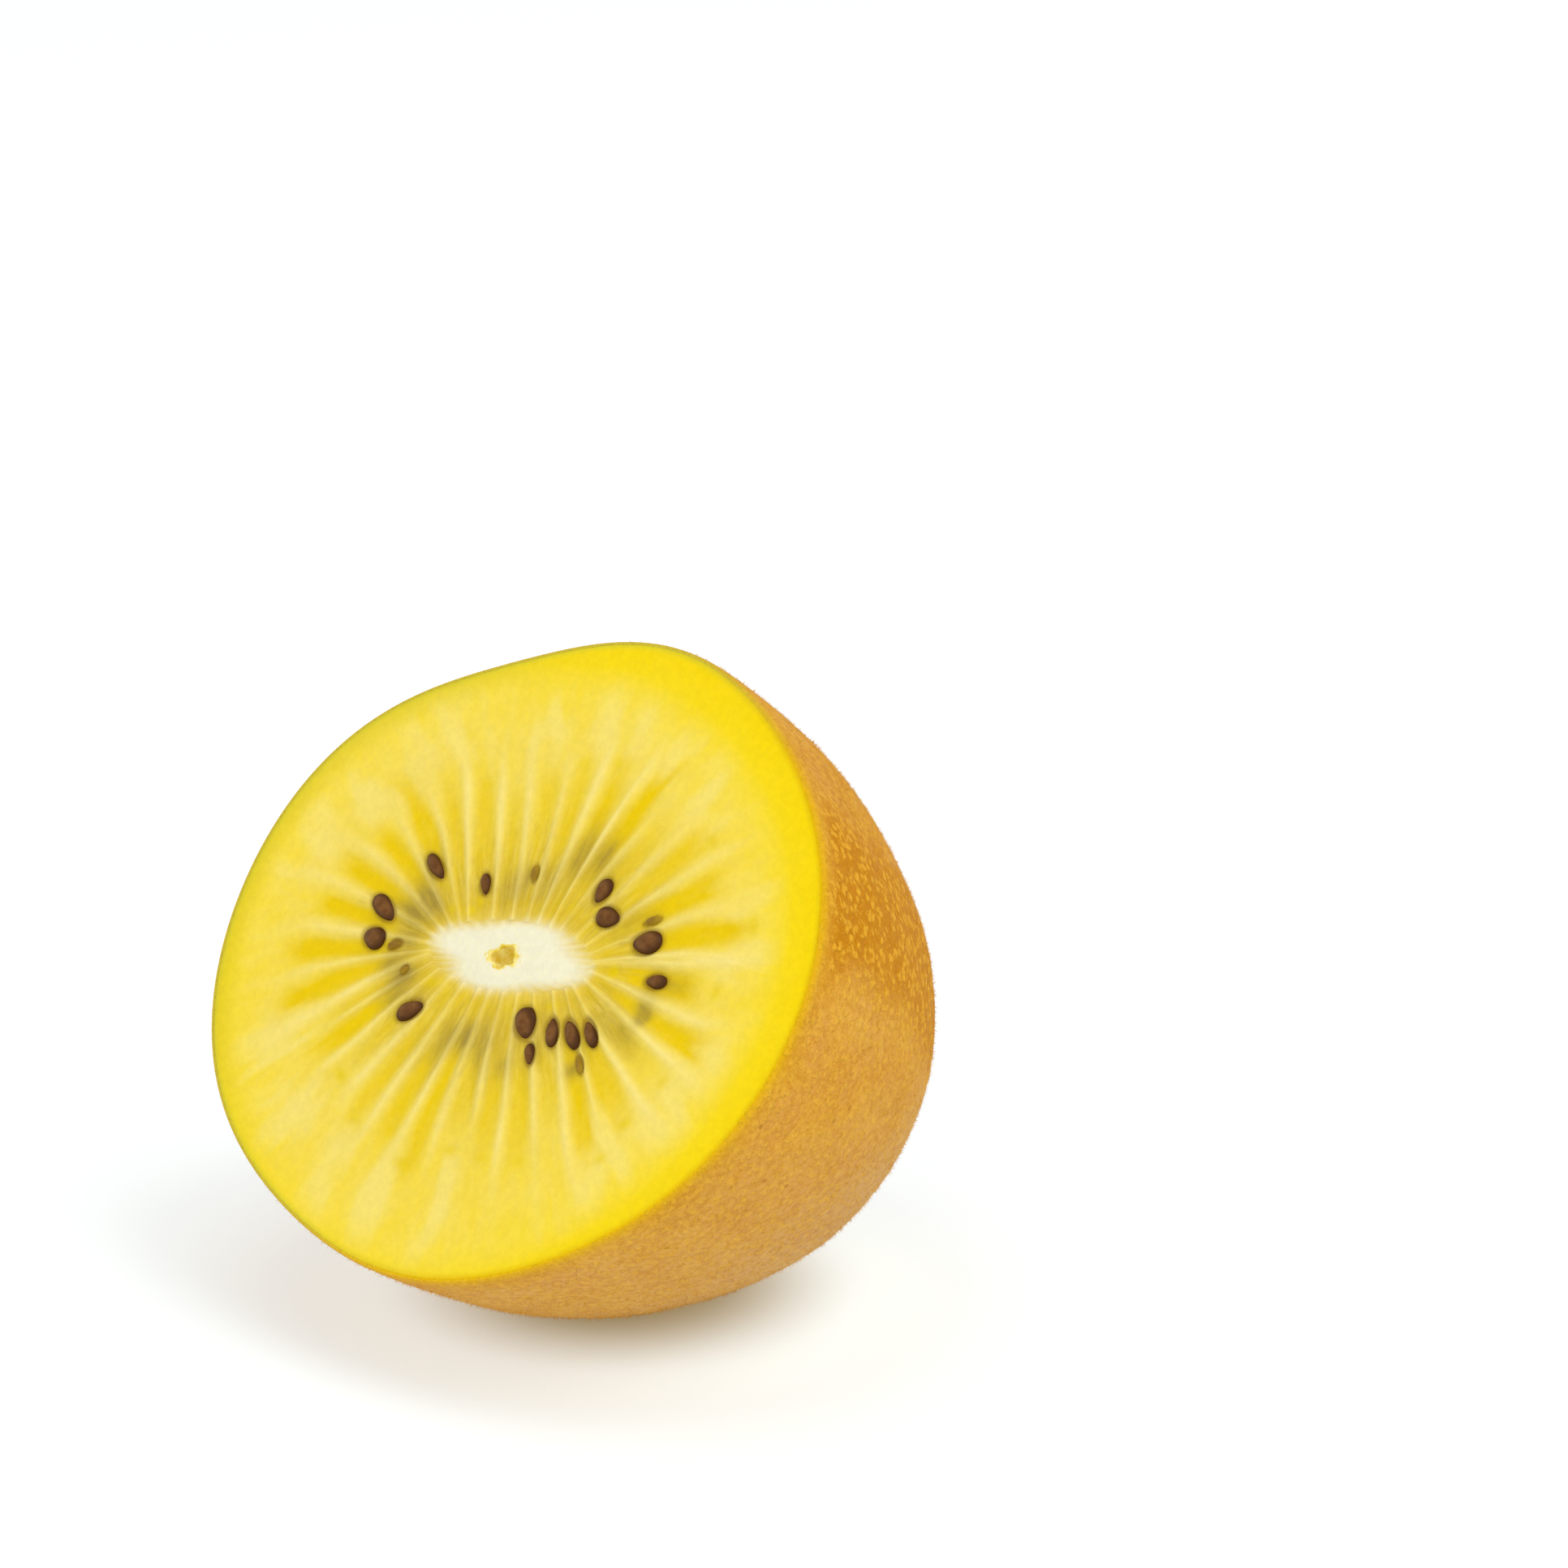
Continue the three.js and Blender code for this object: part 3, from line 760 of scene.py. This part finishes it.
class Wiring:
    """Short calls that add nodes to one tree and join them."""

    def __init__(self, tree):
        self.tree = tree

    def feed(self, node, inputs):
        """Joins each input to a node's output, or sets it to a plain value."""
        for key, value in inputs.items():
            if isinstance(value, bpy.types.NodeSocket):
                self.tree.links.new(value, node.inputs[key])
            else:
                node.inputs[key].default_value = value

    def add(self, kind, inputs=None, **settings):
        node = self.tree.nodes.new(kind)
        for key, value in settings.items():
            setattr(node, key, value)
        self.feed(node, inputs or {})
        return node

    def math(self, operation, first, second=0.0, third=0.0):
        inputs = {0: first, 1: second, 2: third}
        return self.add("ShaderNodeMath", inputs, operation=operation).outputs[0]

    def times(self, product, *factors):
        """The product of the first and all the others."""
        for factor in factors:
            product = self.math("MULTIPLY", product, factor)
        return product

    def ramp(self, value, low, high, out_low=0.0, out_high=1.0):
        """S-shaped rise from one output to the other, between a low and a high input."""
        inputs = {"Value": value, "From Min": low, "From Max": high}
        inputs.update({"To Min": out_low, "To Max": out_high})
        node = self.add("ShaderNodeMapRange", inputs, interpolation_type="SMOOTHSTEP")
        return node.outputs["Result"]

    def mix(self, share, first, second, blend="MIX"):
        """The first colour at share 0, the second at 1."""
        inputs = {0: share, 6: first, 7: second}
        return self.add("ShaderNodeMix", inputs, data_type="RGBA", blend_type=blend).outputs[2]

    def laid_over(self, colour, *layers):
        """The colour with layers over it, each a tone and the factors of its share. The mix
        keeps the share from 0 to 1."""
        for tone, *factors in layers:
            colour = self.mix(self.times(*factors), colour, tone)
        return colour

    def mask(self, name):
        return self.add("ShaderNodeAttribute", attribute_name=name).outputs["Fac"]

    def place(self):
        return self.add("ShaderNodeTexCoord").outputs["Object"]

    def grain(self, scale, low=0.0, high=1.0, detail=3.0, place=None):
        """Places the shared grain, which runs from low to high, at so many grains a metre."""
        inputs = {"Place": place or self.place(), "Scale": scale, "Detail": detail}
        inputs.update({"Low": low, "High": high})
        return self.add("ShaderNodeGroup", inputs, node_tree=grain_group()).outputs["Tone"]

    def bump(self, height, strength, distance):
        inputs = {"Height": height, "Strength": strength, "Distance": distance}
        return self.add("ShaderNodeBump", inputs).outputs["Normal"]

    def colours(self, value, stops):
        """A colour that runs through the stops, each a place from 0 to 1 and a colour."""
        node = self.add("ShaderNodeValToRGB", {"Fac": value})
        elements = node.color_ramp.elements
        elements[0].position, elements[0].color = stops[0]
        elements[1].position, elements[1].color = stops[-1]
        for place, colour in stops[1:-1]:
            elements.new(place).color = colour
        return node.outputs["Color"]


def grain_group():
    """The grain that every surface has, built once: noise at a place, drawn out by an S-shaped
    rise to run from low to high."""
    if "grain" in bpy.data.node_groups:
        return bpy.data.node_groups["grain"]
    group = bpy.data.node_groups.new("grain", "ShaderNodeTree")
    group.interface.new_socket("Place", in_out="INPUT", socket_type="NodeSocketVector")
    for name in ("Scale", "Detail", "Low", "High"):
        group.interface.new_socket(name, in_out="INPUT", socket_type="NodeSocketFloat")
    group.interface.new_socket("Tone", in_out="OUTPUT", socket_type="NodeSocketFloat")
    w = Wiring(group)
    given = w.add("NodeGroupInput").outputs
    inputs = {"Vector": given["Place"], "Scale": given["Scale"], "Detail": given["Detail"]}
    inputs["Roughness"] = 0.55
    noise = w.add("ShaderNodeTexNoise", inputs).outputs["Fac"]
    tone = w.ramp(noise, 0.32, 0.68, given["Low"], given["High"])
    w.add("NodeGroupOutput", {"Tone": tone})
    return group


def new_material(name, looks):
    """A material of one Principled BSDF. The looks, worked out on its wiring, say what each
    socket gets."""
    material = bpy.data.materials.new(name)
    material.use_nodes = True
    w = Wiring(material.node_tree)
    w.feed(w.tree.nodes["Principled BSDF"], looks(w))
    return material


def ground_colour(w, reach, along_fibres):
    """Ground of the flesh from core to rim, with patches, broad bands outside and pale, dark
    and olive strands inside."""
    yellowing = w.mask("yellowing")
    stops = (
        (0.0, screen(232, 202, 84)), (0.06, screen(216, 182, 36)), (0.16, screen(208, 177, 58)),
        (0.3, screen(223, 194, 62)), (0.45, screen(236, 208, 72)), (0.66, screen(242, 217, 94)),
        (0.8, screen(244, 218, 72)), (0.92, screen(245, 215, 18)), (1.0, screen(245, 213, 0)),
    )
    inner = w.times(w.ramp(reach, 0.55, 0.15), w.ramp(reach, 0.04, 0.16, 0.35, 1.0))
    outer = w.times(w.ramp(reach, 0.45, 0.65), w.ramp(yellowing, 0.92, 0.75))
    patches = w.grain(260.0, 0.0, 0.3, 2.0)
    bands = w.times(outer, w.grain(1.3, -0.55, 0.5, 1.5, along_fibres))
    pale = w.grain(5.0, 0.0, 1.0, 3.0, along_fibres)
    pale_share = w.math("MULTIPLY_ADD", inner, 0.4, w.times(outer, 0.14))
    dark = w.grain(8.0, -0.5, 1.0, 2.0, along_fibres)
    olive = w.grain(2.6, -0.35, 0.4, 2.0, along_fibres)
    return w.laid_over(
        w.colours(yellowing, stops),
        (screen(246, 216, 30), patches),
        (screen(245, 226, 130), bands),
        (screen(243, 213, 44), bands, -1.0),
        (screen(244, 224, 132), pale, pale_share),
        (screen(190, 158, 46), dark, inner, 0.55),
        (screen(166, 140, 66), olive, inner),
    )


def fibre_colour(w, ground, reach, along_fibres):
    """The ground with gold chambers, deeper spots, olive shade round the seeds and pale
    fibres over it."""
    chambers = w.times(w.mask("chamber"), w.grain(4.0, 0.95, 1.4, 3.0, along_fibres))
    shade = w.times(w.mask("shade"), w.grain(4.0, 0.6, 1.0, 3.0, along_fibres))
    olive = screen(144, 122, 60)
    outwards = w.ramp(reach, 0.03, 0.48)
    glow = w.times(w.mask("glow"), w.ramp(outwards, 0.0, 1.0, 0.25, 0.6))
    line = w.times(w.mask("line"), w.ramp(outwards, 0.0, 1.0, 0.38, 0.85))
    return w.laid_over(
        ground,
        (screen(234, 199, 0), chambers),
        (screen(229, 199, 0), w.mask("spots")),
        (olive, shade, 0.75),
        (screen(241, 216, 96), glow),
        (screen(245, 225, 134), line, w.grain(2.0, 0.6, 1.1, 2.0, along_fibres)),
        (olive, shade, 0.28),
    )


def rim_and_core_colour(w, colour, reach):
    """The colour with the rim, green on one side, the seeds' seats, the core and its hollow
    over it."""
    greening = w.mask("greening")
    edge = w.mix(w.ramp(greening, -0.5, 0.2), screen(234, 184, 2), screen(216, 202, 48))
    green_band = w.times(w.ramp(reach, 0.87, 1.0, 0.0, 0.6), w.ramp(greening, 0.25, 1.0))
    pith = w.mix(w.grain(1500.0), screen(234, 202, 62), screen(250, 232, 136))
    ragged = w.math("ADD", w.mask("hollow"), w.grain(2600.0, -0.3, 0.3))
    return w.laid_over(
        colour,
        (edge, w.ramp(reach, 0.975, 1.0, 0.0, 0.6)),
        (screen(215, 196, 50), green_band),
        (screen(140, 102, 20), w.mask("seat"), 0.7),
        (screen(242, 236, 204), w.mask("core")),
        (pith, w.ramp(ragged, 0.25, 0.75)),
    )


def flesh_looks(w):
    """Wet golden flesh, finely mottled, with light that enters and spreads. Its drawn-out
    grains run along the fibres: their place is a ray on a circle, one unit a ray, and reach."""
    reach = w.mask("reach")
    inputs = {
        "X": w.times(w.mask("round"), RAYS / (2.0 * math.pi)),
        "Y": w.times(w.mask("turn"), RAYS / (2.0 * math.pi)),
        "Z": w.times(reach, 1.8),
    }
    along_fibres = w.add("ShaderNodeCombineXYZ", inputs).outputs["Vector"]
    colour = ground_colour(w, reach, along_fibres)
    colour = fibre_colour(w, colour, reach, along_fibres)
    colour = rim_and_core_colour(w, colour, reach)
    mottle = w.grain(1600.0, 0.97, 1.02)
    grey = w.add("ShaderNodeCombineColor", {"Red": mottle, "Green": mottle, "Blue": mottle})
    return {
        "Base Color": w.mix(1.0, colour, grey.outputs["Color"], "MULTIPLY"),
        "Roughness": w.grain(1300.0, 0.34, 0.5),
        "Normal": w.bump(w.grain(2600.0, 0.0, 1.0, 4.0), 0.25, 0.0001),
        "Subsurface Weight": 0.25,
        "Subsurface Radius": (1.0, 0.7, 0.15),
        "Subsurface Scale": 0.001,
        "Specular IOR Level": 0.05,
    }


def specks(w, place, scale, inner, outer, share):
    """Small ragged spots: the inside of some cells of a Voronoi pattern, chosen by their
    colour, with a grain added to the distance from the cell's middle."""
    cells = w.add("ShaderNodeTexVoronoi", {"Vector": place, "Scale": scale})
    uneven = w.grain(1.5 * scale, -0.3 * outer, 0.3 * outer, 2.0, place)
    spot = w.ramp(w.math("ADD", cells.outputs["Distance"], uneven), outer, inner)
    drawn = w.add("ShaderNodeSeparateColor", {"Color": cells.outputs["Color"]}).outputs["Red"]
    return w.times(spot, w.ramp(drawn, 1.0 - share - 0.15, 1.0 - share + 0.15))


def skin_looks(w):
    """Thin tan skin: orange stripes, the strongest deepened by painted shade, gold by the cut,
    paler low down at the back as painted light bounced up from the table, with broad patches,
    a fine dark grain, dense pale specks, sparse dark ones and a little down."""
    stretch = {"Vector": w.place(), "Scale": (1.0, 1.0, 0.9)}
    upright = w.add("ShaderNodeMapping", stretch).outputs["Vector"]
    height = w.add("ShaderNodeSeparateXYZ", {"Vector": w.place()}).outputs["Z"]
    back = w.mask("back")
    ragged = w.math("ADD", w.mask("stripes_and_shade"), w.grain(160.0, -0.2, 0.2, 4.0))
    stripes_and_shade = w.times(w.ramp(ragged, -0.15, 1.0), w.grain(60.0, 0.75, 1.1, 2.0))
    dark_grain = w.grain(1900.0, 0.0, 1.0, 4.0, upright)
    small = specks(w, upright, 3000.0, 0.15, 0.5, 0.7)
    large = specks(w, upright, 1600.0, 0.2, 0.68, 0.8)
    small_tone = w.mix(stripes_and_shade, screen(244, 184, 58), screen(226, 152, 0))
    large_tone = w.mix(stripes_and_shade, screen(250, 192, 64), screen(250, 186, 50))
    sparse = specks(w, w.place(), 480.0, 0.04, 0.12, 0.35)
    green_side = w.ramp(w.mask("greening"), -0.5, 0.2)
    cut_tone = w.mix(green_side, screen(238, 190, 2), screen(208, 192, 60))
    colour = w.laid_over(
        w.mix(w.grain(90.0), screen(234, 169, 62), screen(242, 185, 78)),
        (screen(226, 160, 88), w.grain(220.0, 0.0, 0.45)),
        # Paler low down at the back, near the table: painted light bounced up from the table.
        (screen(226, 188, 140), w.ramp(back, 0.12, 0.45, 0.22, 0.7), w.ramp(height, 0.024, 0.01)),
        (screen(232, 172, 24), w.ramp(back, 0.05, 0.0, 0.0, 0.6)),
        # Deeper orange of the stripes; in the strongest stripe it is painted shade.
        (screen(202, 128, 0), stripes_and_shade),
        (screen(196, 124, 6), dark_grain, w.math("MULTIPLY_ADD", stripes_and_shade, 0.1, 0.42)),
        (small_tone, small, 0.6),
        (large_tone, large, w.math("MULTIPLY_ADD", stripes_and_shade, 0.42, 0.36)),
        (screen(160, 98, 30), sparse, 0.45),
        (screen(168, 104, 44), w.mask("end")),
        (cut_tone, w.mask("cut")),
    )
    lumps = w.math("ADD", w.math("ADD", large, w.times(small, 0.5)), w.grain(3000.0))
    return {
        "Base Color": colour,
        "Roughness": w.grain(800.0, 0.5, 0.65),
        "Normal": w.bump(lumps, 0.8, 0.0001),
        "Specular IOR Level": 0.01,
        "Sheen Weight": 0.03,
        "Sheen Roughness": 0.5,
        "Sheen Tint": (1.0, 0.8, 0.5, 1.0),
    }


def seed_looks(w):
    """Seed coat: chocolate brown, darker round its edge, partly its own and partly painted shade
    where it curves away, faintly pitted, with a soft gloss. A film of flesh lies over the thin
    seeds, most of all at their edges."""
    rim = w.mask("rim")
    colour = w.laid_over(
        w.mix(w.grain(1500.0), screen(99, 58, 14), screen(121, 78, 34)),
        # Darker edge: partly the coat's own colour, partly painted shade where the seed curves
        # away.
        (screen(76, 41, 2), w.ramp(rim, 0.5, 0.95)),
        (screen(192, 156, 30), w.mask("film"), w.ramp(rim, 0.3, 1.05, 0.4, 0.85)),
    )
    return {
        "Base Color": colour,
        "Roughness": w.grain(4000.0, 0.4, 0.55),
        "Normal": w.bump(w.grain(5000.0, 0.0, 1.0, 2.0), 0.3, 0.00004),
        "Specular IOR Level": 0.15,
    }


def fuzz_looks(w):
    """Down: pale straw to tan, changing from patch to patch."""
    return {
        "Base Color": w.mix(w.grain(300.0), screen(206, 142, 30), screen(238, 186, 76)),
        "Roughness": 0.6,
        "Specular IOR Level": 0.03,
    }


def scar_looks(w):
    """Dried end: dark brown in the cracks, tan where it is worn."""
    worn = w.grain(900.0, 0.0, 1.0, 5.0)
    return {
        "Base Color": w.mix(worn, screen(84, 50, 26), screen(150, 98, 48)),
        "Roughness": w.grain(1200.0, 0.7, 0.9),
        "Normal": w.bump(w.grain(1800.0, 0.0, 1.0, 5.0), 0.6, 0.0001),
    }


def table_looks(w):
    """Plain near-white table with a faintly clouded sheen, lit a little from within: least and
    warmest where the fruit rests, a painted contact shadow, and most in a ring round that,
    painted light that keeps the shadow tight."""
    away = w.add("ShaderNodeVectorMath", {0: w.place()}, operation="LENGTH").outputs["Value"]
    # Glow of the table: a dim warm painted shadow where the fruit rests, a ring of painted light
    # round it, even beyond.
    painted_contact_shadow, painted_light_ring = (0.52, 0.44, 0.22, 1.0), (1.22, 1.36, 1.4, 1.0)
    beyond = (0.94, 1.0, 1.045, 1.0)
    glow = w.mix(w.ramp(away, 0.006, 0.018), painted_contact_shadow, painted_light_ring)
    return {
        "Base Color": (0.64, 0.67, 0.66, 1.0),
        "Roughness": w.grain(3.0, 0.85, 1.0),
        "Specular IOR Level": 0.1,
        "Emission Color": w.mix(w.ramp(away, 0.0165, 0.026), glow, beyond),
        "Emission Strength": 0.33,
    }


# --- Stage ---

CAMERA_TURN, CAMERA_RISE = 43.7, 18.0  # round from the face's own facing, and up
CAMERA_DISTANCE = 500.0
IMAGE_SIZE = 1932.0
PIXELS_PER_MM = 17.15  # at the middle of the cut face
FACE_PIXEL = (628.5, 1178.0)  # where the middle of the cut face shows
SENSOR = 36.0
WORLD_LEVEL = 0.93
# Soft lights: how far to the right, in front and above, in metres; size; power.
LIGHTS = {
    "key": (0.45, 0.3, 0.75, 0.6, 2.6),
    "fill": (-0.35, 0.9, 0.2, 0.7, 1.9),
}
TABLE_HALF = 4.0  # in metres


def look_axes():
    """Right, up and forward of the camera, from its turn and rise."""
    turn, rise = math.radians(CAMERA_TURN), math.radians(CAMERA_RISE)
    right = np.array([math.cos(turn), math.sin(turn), 0.0])
    level = np.array([-math.sin(turn), math.cos(turn), 0.0])
    forward = level * math.cos(rise) - np.array([0.0, 0.0, math.sin(rise)])
    return right, np.cross(right, forward), forward


def set_up(name, data, axes, place):
    """Puts a camera or light in the scene, with its x, y and z axes and its place in metres."""
    matrix = np.eye(4)
    matrix[:3, :3] = np.stack(axes, axis=1)
    matrix[:3, 3] = place
    item = bpy.data.objects.new(name, data)
    item.matrix_world = Matrix(matrix.tolist())
    bpy.context.scene.collection.objects.link(item)
    return item


def build_camera():
    """The camera, set back from the face so that the face's middle shows at its pixel."""
    right, up, forward = look_axes()
    aside = (FACE_PIXEL[0] - IMAGE_SIZE / 2) / PIXELS_PER_MM
    above = (IMAGE_SIZE / 2 - FACE_PIXEL[1]) / PIXELS_PER_MM
    place = np.array(FACE_PLACE) - right * aside - up * above - forward * CAMERA_DISTANCE
    data = bpy.data.cameras.new("camera")
    data.sensor_width = SENSOR
    data.lens = SENSOR * PIXELS_PER_MM * CAMERA_DISTANCE / IMAGE_SIZE
    data.clip_start, data.clip_end = 0.01, 50.0
    bpy.context.scene.camera = set_up("camera", data, (right, up, -forward), place * MM)


def soft_light(name, place, size, power):
    """A square soft light at a place in metres, aimed at the fruit."""
    data = bpy.data.lights.new(name, "AREA")
    data.shape, data.size, data.energy = "SQUARE", size, power
    backwards = unit(place - np.array([0.0, 0.0, 0.5 * CUT_RADIUS * MM]))
    right = unit(np.cross([0.0, 0.0, 1.0], backwards))
    set_up(name, data, (right, np.cross(backwards, right), backwards), place)


def build_light():
    """Bright even surroundings and two soft lights: one from the right and above, and a low
    one from the left in front."""
    world = bpy.data.worlds.new("studio")
    bpy.context.scene.world = world
    world.use_nodes = True
    background = world.node_tree.nodes["Background"]
    background.inputs["Color"].default_value = (1.0, 1.0, 1.0, 1.0)
    background.inputs["Strength"].default_value = WORLD_LEVEL
    right, _, forward = look_axes()
    for name, (aside, before, above, size, power) in LIGHTS.items():
        place = aside * right - before * forward + np.array([0.0, 0.0, above])
        soft_light(name, place, size, power)


def build_table(material):
    """A wide flat sheet at the height that the fruit rests on."""
    half = TABLE_HALF
    corners = [(-half, -half, 0), (half, -half, 0), (half, half, 0), (-half, half, 0)]
    mesh = bpy.data.meshes.new("table")
    mesh.from_pydata(corners, [], [(0, 1, 2, 3)])
    mesh.materials.append(material)
    table = bpy.data.objects.new("table", mesh)
    bpy.context.scene.collection.objects.link(table)


build_flesh(new_material("flesh", flesh_looks))
build_skin(new_material("skin", skin_looks))
build_fuzz(new_material("fuzz", fuzz_looks))
build_scar(new_material("scar", scar_looks))
build_seeds(new_material("seeds", seed_looks))
build_table(new_material("table", table_looks))
build_camera()
build_light()
bpy.context.scene.view_settings.view_transform = "Standard"
